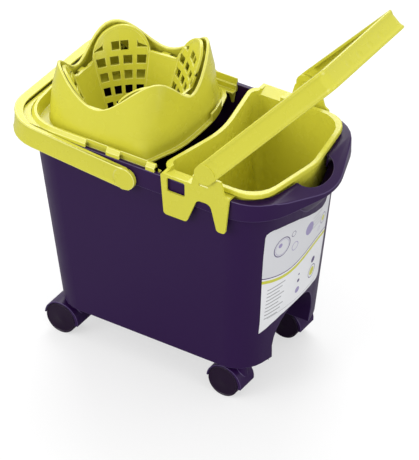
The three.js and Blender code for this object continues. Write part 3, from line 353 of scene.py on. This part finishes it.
print_axes = print_nodes.new("ShaderNodeSeparateXYZ")
print_links.new(print_place.outputs["Object"], print_axes.inputs[0])
across = print_axes.outputs["Y"]
height = print_axes.outputs["Z"]


def within(distance, edge, soft=0.00012):
    """1 where the distance is under the edge, with a soft border as ink has."""
    node = print_nodes.new("ShaderNodeMapRange")
    node.inputs["From Min"].default_value = edge - soft
    node.inputs["From Max"].default_value = edge + soft
    node.inputs["To Min"].default_value = 1
    node.inputs["To Max"].default_value = 0
    print_links.new(distance, node.inputs["Value"])
    return node.outputs["Result"]


def from_point(y, z):
    """How far the shaded point is from a point on the label."""
    run = arithmetic("SUBTRACT", across, y)
    rise = arithmetic("SUBTRACT", height, z)
    squares = [arithmetic("MULTIPLY", side, side) for side in (run, rise)]
    return arithmetic("SQRT", arithmetic("ADD", *squares))


def bubble(y, z, radius, line):
    """A ring about a point, with line as half the width of its stroke."""
    return within(arithmetic("ABSOLUTE", arithmetic("SUBTRACT", from_point(y, z), radius)), line)


def bar(y_low, y_high, z, half):
    """A level stroke, twice half in height."""
    along = arithmetic("ABSOLUTE", arithmetic("SUBTRACT", across, (y_low + y_high) / 2))
    upward = arithmetic("ABSOLUTE", arithmetic("SUBTRACT", height, z))
    inside = within(along, (y_high - y_low) / 2)
    return arithmetic("MULTIPLY", inside, within(upward, half))


def inked(under, colour, mask):
    """The colour laid over what is printed under it, where the mask is 1."""
    node = print_nodes.new("ShaderNodeMix")
    node.data_type = "RGBA"
    print_links.new(mask, node.inputs["Factor"])
    if isinstance(under, tuple):
        node.inputs["A"].default_value = (*under, 1)
    else:
        print_links.new(under, node.inputs["A"])
    node.inputs["B"].default_value = (*colour, 1)
    return node.outputs["Result"]


print_purple = (0.075, 0.045, 0.17)
print_mauve = (0.33, 0.28, 0.50)
print_lime = (0.62, 0.62, 0.05)
print_grey = (0.36, 0.36, 0.38)
print_shade = (0.60, 0.605, 0.64)
wave_radians_per_metre = 42
wave_height = 0.006
wave_z = 0.208
lime_drop = 0.0062
swell = arithmetic("SINE", arithmetic("MULTIPLY", across, wave_radians_per_metre))
crest = arithmetic("ADD", arithmetic("MULTIPLY", swell, wave_height), wave_z)
over_crest = arithmetic("SUBTRACT", height, crest)
backing = print_nodes.new("ShaderNodeTexNoise")
backing.inputs["Scale"].default_value = 14
print_links.new(print_place.outputs["Object"], backing.inputs["Vector"])
sheet = inked((0.90, 0.905, 0.93), (0.80, 0.805, 0.83), backing.outputs["Fac"])
upper = within(arithmetic("MULTIPLY", over_crest, -1), 0.0)
sheet = inked(sheet, print_shade, arithmetic("MULTIPLY", upper, 0.55))
sheet = inked(sheet, print_purple, within(arithmetic("ABSOLUTE", over_crest), 0.0008))
lower_swell = arithmetic("ABSOLUTE", arithmetic("ADD", over_crest, lime_drop))
sheet = inked(sheet, print_lime, within(lower_swell, 0.0026))
for y, z, radius, line, colour in (
    (-0.056, 0.252, 0.0150, 0.0007, print_purple),
    (-0.056, 0.252, 0.0125, 0.0003, print_mauve),
    (-0.028, 0.238, 0.0065, 0.0005, print_mauve),
    (-0.034, 0.262, 0.0042, 0.0004, print_purple),
    (0.048, 0.238, 0.0080, 0.0005, print_purple),
    (0.036, 0.228, 0.0032, 0.0004, print_mauve),
    (0.030, 0.158, 0.0100, 0.0006, print_purple),
):
    sheet = inked(sheet, colour, bubble(y, z, radius, line))
for y, z, radius, colour in (
    (-0.060, 0.256, 0.0036, print_mauve),
    (0.006, 0.247, 0.0100, print_mauve),
    (0.048, 0.238, 0.0044, print_lime),
    (0.030, 0.158, 0.0066, print_lime),
    (0.030, 0.178, 0.0050, print_purple),
    (-0.008, 0.150, 0.0050, print_mauve),
    (-0.008, 0.166, 0.0028, print_purple),
    (-0.008, 0.177, 0.0016, print_purple),
):
    sheet = inked(sheet, colour, within(from_point(y, z), radius))
for k in range(9):
    row_end = -0.040 - 0.005 * (k % 3)
    sheet = inked(sheet, print_grey, bar(-0.074, row_end, 0.186 - k * 0.0062, 0.00085))
sheet = inked(sheet, print_grey, bar(-0.068, 0.046, 0.1345, 0.00035))
for k in range(4):
    row_end = 0.040 - 0.004 * (k % 2)
    sheet = inked(sheet, print_grey, bar(0.014, row_end, 0.258 - k * 0.0058, 0.0006))
print_links.new(sheet, label_sheet.inputs["Base Color"])
label.data.materials.append(label_print)
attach(label, "bucket")

# ---------------------------------------------------------------- castors
# Four twin-wheel castors: a hood over two wheels on a steel axle, on a steel stem pushed into the
# bucket. The wheels are hard dark plastic with a raised rim and a shallow dished face.

dark_plastic = moulded_plastic(
    "dark_plastic", colour=(0.014, 0.004, 0.022), deep_colour=(0.012, 0.0034, 0.019),
    roughness=0.34, grain=0.15, sheen=0.25,
)

turned_steel = bpy.data.materials.new("turned_steel")
turned_steel.use_nodes = True
tree = turned_steel.node_tree
steel = tree.nodes["Principled BSDF"]
steel.inputs["Metallic"].default_value = 1
place = tree.nodes.new("ShaderNodeTexCoord")
scratches = tree.nodes.new("ShaderNodeTexNoise")
scratches.inputs["Scale"].default_value = 420
shine = tree.nodes.new("ShaderNodeMapRange")
shine.inputs["To Min"].default_value = 0.22
shine.inputs["To Max"].default_value = 0.42
steel_tint = tree.nodes.new("ShaderNodeMix")
steel_tint.data_type = "RGBA"
steel_tint.inputs["A"].default_value = (0.42, 0.43, 0.45, 1)
steel_tint.inputs["B"].default_value = (0.55, 0.56, 0.58, 1)
tree.links.new(place.outputs["Object"], scratches.inputs["Vector"])
tree.links.new(scratches.outputs["Fac"], shine.inputs["Value"])
tree.links.new(shine.outputs["Result"], steel.inputs["Roughness"])
tree.links.new(scratches.outputs["Fac"], steel_tint.inputs["Factor"])
tree.links.new(steel_tint.outputs["Result"], steel.inputs["Base Color"])


def castor_wheel(node, piece_name, outer_side):
    """A wheel with a rounded tread; its outer face has a rim, a shallow dish and a hub."""
    rounds = 72
    low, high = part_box(node)
    middle = (low + high) / 2
    radius = (high.z - low.z) / 2
    width = high.y - low.y
    deselect()
    bpy.ops.mesh.primitive_cylinder_add(
        vertices=rounds, radius=radius, depth=width, location=middle,
        rotation=(math.radians(90), 0, 0),
    )
    wheel = bpy.context.object
    wheel.name = piece_name
    bpy.ops.object.transform_apply(location=True, rotation=True, scale=True)
    face_y = high.y if outer_side > 0 else low.y
    rim = (0.0016, 0)
    drop_to_dish = (0.0012, -0.0010)
    dish = (radius * 0.60, -0.0005)
    hub = (0.0010, 0.0004)
    for inset, rise in (rim, drop_to_dish, dish, hub):
        bpy.ops.object.mode_set(mode="EDIT")
        bpy.ops.mesh.select_mode(type="FACE")
        bpy.ops.mesh.select_all(action="DESELECT")
        bpy.ops.object.mode_set(mode="OBJECT")
        caps = [f for f in wheel.data.polygons if len(f.vertices) == rounds]
        cap = min(caps, key=lambda f: abs(f.center.y - face_y))
        cap.select = True
        bpy.ops.object.mode_set(mode="EDIT")
        bpy.ops.mesh.inset(thickness=inset, depth=0)
        bpy.ops.transform.translate(value=(0, rise * outer_side, 0))
        bpy.ops.object.mode_set(mode="OBJECT")
        face_y += rise * outer_side
    shoulder = wheel.modifiers.new("shoulders", "BEVEL")
    shoulder.limit_method = "ANGLE"
    shoulder.angle_limit = math.radians(40)
    shoulder.width = 0.0012
    shoulder.segments = 3
    bpy.ops.object.modifier_apply(modifier=shoulder.name)
    bpy.ops.object.shade_smooth_by_angle(angle=math.radians(25))
    wheel.data.materials.append(dark_plastic)
    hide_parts(node)
    return wheel


for place_name in ("rear_left", "rear_right", "front_left", "front_right"):
    castor = "castor_" + place_name
    hood = shown_as(castor + "_hood", castor + "_cover", purple_plastic, purple_edge_highlight, edge=0.0007)
    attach(hood, castor)
    for side_name, side in (("left", 1), ("right", -1)):
        wheel = castor_wheel(f"{castor}_wheel_{side_name}", f"{castor}_tyre_{side_name}", side)
        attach(wheel, castor + "_wheels")
    for bare in ("_stem", "_axle"):
        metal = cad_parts[castor + bare]
        metal.data.materials.clear()
        metal.data.materials.append(turned_steel)

# ---------------------------------------------------------------- carrying handle
# One lime polypropylene moulding, thicker at its grip. Its round ends turn on pegs in the bucket's
# long sides, and it rests folded back round the rim at the wringer end.

lime_plastic = moulded_plastic(
    "lime_plastic", colour=(0.66, 0.632, 0.056), deep_colour=(0.63, 0.600, 0.049),
    roughness=0.26, grain=0.18, sheen=0.45,
)
# Paler lime for the edge radii: a painted highlight along the edges.
lime_edge_highlight = moulded_plastic(
    "lime_edge_highlight", colour=(0.82, 0.790, 0.21), deep_colour=(0.79, 0.760, 0.19),
    roughness=0.24, grain=0.1, sheen=0.6,
)

carry = shown_as("carry_handle", "carrying_bail", lime_plastic, lime_edge_highlight, edge=0.0010)
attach(carry, "carry_handle")

# ---------------------------------------------------------------- wringer
# Tray and cup are one glossy moulding in lime polypropylene that rests on the bucket's rim. The
# basket with its four perforated petals is another, and its collar rests on the floor of the cup.


def block(low, high):
    """A plain block between two corners, to join to a piece or cut from it."""
    deselect()
    middle = (Vector(low) + Vector(high)) / 2
    bpy.ops.mesh.primitive_cube_add(size=1, location=middle, scale=Vector(high) - Vector(low))
    return bpy.context.object


def boolean(piece, tool, operation):
    """The tool joined to the piece or cut from it, and gone after that."""
    change = piece.modifiers.new("change", "BOOLEAN")
    change.operation = operation
    change.solver = "EXACT"
    change.object = tool
    pick(piece)
    bpy.ops.object.modifier_apply(modifier=change.name)
    bpy.data.objects.remove(tool)


def back_corner_block(side, x, y, z, radius):
    """A block from the middle out to y on one side, its outer back corner rounded."""
    part = block((x[0], min(0, side * y), z[0]), (x[1], max(0, side * y), z[1]))
    pick(part)
    bpy.ops.object.transform_apply(location=True, rotation=True, scale=True)
    bpy.ops.object.mode_set(mode="EDIT")
    bpy.ops.mesh.select_mode(type="EDGE")
    bpy.ops.mesh.select_all(action="DESELECT")
    bpy.ops.object.mode_set(mode="OBJECT")
    back = min(v.co.x for v in part.data.vertices)
    for edge in part.data.edges:
        ends = [part.data.vertices[k].co for k in edge.vertices]
        edge.select = all(e.x < back + 0.001 and side * e.y > 0.1 for e in ends)
    bpy.ops.object.mode_set(mode="EDIT")
    bpy.ops.mesh.bevel(offset=radius, segments=20, affect="EDGES")
    bpy.ops.object.mode_set(mode="OBJECT")
    return part


def shelved(piece):
    """A thin shelf at each of the tray's back corners, out towards the carrying handle."""
    for side in (-1, 1):
        shelf = back_corner_block(
            side, x=(-0.2347, -0.1600), y=0.1195, z=(0.3526, 0.3552), radius=0.036
        )
        in_tray = back_corner_block(
            side, x=(-0.2296, -0.1000), y=0.1187, z=(0.3400, 0.3700), radius=0.0554
        )
        boolean(shelf, in_tray, "DIFFERENCE")
        boolean(piece, shelf, "UNION")


tray = shown_as("wringer_body", "tray_and_cup", lime_plastic, lime_edge_highlight, edge=0.0006, shape=shelved)
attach(tray, "wringer_body")

basket = shown_as("wringer_basket", "perforated_basket", lime_plastic, lime_edge_highlight, edge=0.0004)
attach(basket, "wringer_basket")

# ---------------------------------------------------------------- rinse bucket
# A lift-out lime polypropylene moulding that hangs in the front half of the bucket by its rim, with
# an apron outside on each side. Its bail, another moulding with finger dents, turns on two ears.

bail_pivot = Vector((0.07883, 0, 0.3820))
bail_rise = math.radians(48.6)
along_bail = Vector((math.cos(bail_rise), 0, math.sin(bail_rise)))
across_bail = Vector((-math.sin(bail_rise), 0, math.cos(bail_rise)))


def bail_round(y, thick, radius):
    """A short round bar on the bail's hinge line."""
    deselect()
    bpy.ops.mesh.primitive_cylinder_add(
        vertices=48, radius=radius, depth=thick, location=bail_pivot + Vector((0, y, 0)),
        rotation=(math.radians(90), 0, 0),
    )
    return bpy.context.object


def side_block(side, x, y, z):
    """A block on one side of the bucket, from its low and high x, y and z."""
    y_low, y_high = sorted((side * y[0], side * y[1]))
    return block((x[0], y_low, z[0]), (x[1], y_high, z[1]))


def tilted_block(centre, size, axis_turns):
    """A block that leans: tilted about its own centre."""
    deselect()
    bpy.ops.mesh.primitive_cube_add(size=1, scale=size, rotation=axis_turns, location=centre)
    return bpy.context.object


def flanged(piece):
    """The rim slopes to each apron behind its ear, over a round-cornered window in the apron."""
    rim = Vector((0, 0.1250, 0.3588))
    rim_slope = math.radians(12)
    window_x = (0.0190, 0.0470)
    apron_y = (0.1235, 0.1290)
    ear_foot = Vector((0.0572, 0.12625, 0.3590))
    ear_slant = math.radians(15.2)
    ear_radius = 0.0148
    up_ear = Vector((math.sin(ear_slant), 0, math.cos(ear_slant)))
    off_ear = Vector((-math.cos(ear_slant), 0, math.sin(ear_slant)))
    for side in (-1, 1):
        to_side = Vector((1, side, 1))

        flange = side_block(side, x=(0.0110, 0.0560), y=(0.1080, 0.1269), z=(0.3515, 0.3590))
        boolean(piece, flange, "UNION")
        filled_apron = side_block(side, x=(0.0170, 0.0530), y=(0.1242, 0.1268), z=(0.3310, 0.3560))
        boolean(piece, filled_apron, "UNION")

        lean = (side * rim_slope, 0, 0)
        over_rim = Vector((0.0330, side * -0.014, 0.010))
        over_rim.rotate(Euler(lean))
        over_rim += rim * to_side
        boolean(piece, tilted_block(over_rim, (0.034, 0.028, 0.020), lean), "DIFFERENCE")

        window = side_block(side, x=window_x, y=(0.1225, 0.1300), z=(0.3330, 0.3548))
        corners = window.modifiers.new("corners", "BEVEL")
        corners.width = 0.0024
        corners.segments = 4
        bpy.ops.object.modifier_apply(modifier=corners.name)
        boolean(piece, window, "DIFFERENCE")
        behind_window = side_block(side, x=window_x, y=(0.1120, 0.1245), z=(0.3400, 0.3530))
        boolean(piece, behind_window, "DIFFERENCE")

        behind_ear = side_block(side, x=(0.0400, ear_foot.x), y=apron_y, z=(ear_foot.z, 0.4000))
        boolean(piece, behind_ear, "DIFFERENCE")
        past_slant = ear_foot * to_side + up_ear * 0.020 + off_ear * 0.010
        slant = tilted_block(past_slant, (0.020, 0.0055, 0.040), (0, ear_slant, 0))
        boolean(piece, slant, "DIFFERENCE")
        around_ear = side_block(side, x=(0.0500, 0.1100), y=apron_y, z=(0.3780, 0.4050))
        boolean(around_ear, bail_round(side * 0.126, 0.010, ear_radius), "DIFFERENCE")
        boolean(piece, around_ear, "DIFFERENCE")
    bpy.ops.object.mode_set(mode="EDIT")
    bpy.ops.mesh.select_all(action="SELECT")
    bpy.ops.mesh.dissolve_degenerate(threshold=0.00025)
    bpy.ops.object.mode_set(mode="OBJECT")


rinse = shown_as(
    "rinse_bucket", "lift_out_bucket", lime_plastic, lime_edge_highlight, edge=0.0010, shape=flanged,
    clamp=True,
)
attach(rinse, "rinse_bucket")


def along_and_off(point):
    """How far the point is along the bail from its pivot, and off its middle."""
    arm = point - bail_pivot
    return arm.dot(along_bail), arm.dot(across_bail)


def gripped(piece):
    """Round ends as wide as the strap, a plain grip and a channel down the outer face."""
    half_strap = 0.01475
    for strap_y in (-0.130, 0.130):
        trim = block((-0.024, strap_y - 0.006, -0.024), (0.024, strap_y + 0.006, 0.024))
        trim.location += bail_pivot
        boolean(trim, bail_round(strap_y, 0.030, half_strap), "DIFFERENCE")
        strap_middle = bail_pivot + along_bail * 0.030 + Vector((0, strap_y, 0))
        strap = tilted_block(strap_middle, (0.060, 0.030, 2 * half_strap), (0, -bail_rise, 0))
        boolean(trim, strap, "DIFFERENCE")
        boolean(piece, trim, "DIFFERENCE")

    pick(piece)
    bpy.ops.object.mode_set(mode="EDIT")
    bpy.ops.mesh.select_mode(type="FACE")
    bpy.ops.mesh.select_all(action="DESELECT")
    bpy.ops.object.mode_set(mode="OBJECT")
    dents_start, grip_face, dents_end = 0.2425, 0.2438, 0.2452
    half_grip_width, half_grip_length = 0.0125, 0.052
    for face in piece.data.polygons:
        run, off = along_and_off(face.center)
        facing = face.normal.dot(along_bail)
        dented = abs(facing) < 0.9999 or (facing > 0 and run < grip_face)
        on_grip = abs(off) < half_grip_width and abs(face.center.y) < half_grip_length
        face.select = dented and on_grip and dents_start < run < dents_end
    bpy.ops.object.mode_set(mode="EDIT")
    bpy.ops.mesh.delete(type="FACE")
    bpy.ops.mesh.select_all(action="SELECT")
    bpy.ops.mesh.fill_holes(sides=0)
    bpy.ops.mesh.select_all(action="SELECT")
    bpy.ops.mesh.normals_make_consistent(inside=False)
    bpy.ops.mesh.dissolve_limited(angle_limit=math.radians(0.5))
    bpy.ops.mesh.select_all(action="DESELECT")
    bpy.ops.object.mode_set(mode="OBJECT")

    bail_middle = bail_pivot + along_bail * 0.12
    past_the_ends = 0.030
    smallest_face = 2e-6
    for face in piece.data.polygons:
        run, off = along_and_off(face.center)
        level = abs(face.normal.dot(across_bail)) < 0.12
        outward = face.normal.dot(face.center - bail_middle) > 0
        face.select = level and outward and run > past_the_ends and face.area > smallest_face
    bpy.ops.object.mode_set(mode="EDIT")
    bpy.ops.mesh.inset(thickness=0.0024, depth=-0.0008)
    bpy.ops.object.mode_set(mode="OBJECT")


bail = shown_as(
    "rinse_handle", "raised_bail", lime_plastic, lime_edge_highlight, edge=0.0008, shape=gripped, clamp=True,
)
dent_radius = 0.020
dent_gap = 0.026
dent_middle = bail_pivot + along_bail * 0.2624 - across_bail * 0.0015
for k in range(4):
    deselect()
    bpy.ops.mesh.primitive_uv_sphere_add(
        segments=64, ring_count=32, radius=dent_radius, rotation=(0, math.pi / 2 - bail_rise, 0),
        location=dent_middle + Vector((0, (k - 1.5) * dent_gap, 0)),
    )
    boolean(bail, bpy.context.object, "DIFFERENCE")
smooth(bail, sharp=40)
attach(bail, "rinse_handle")
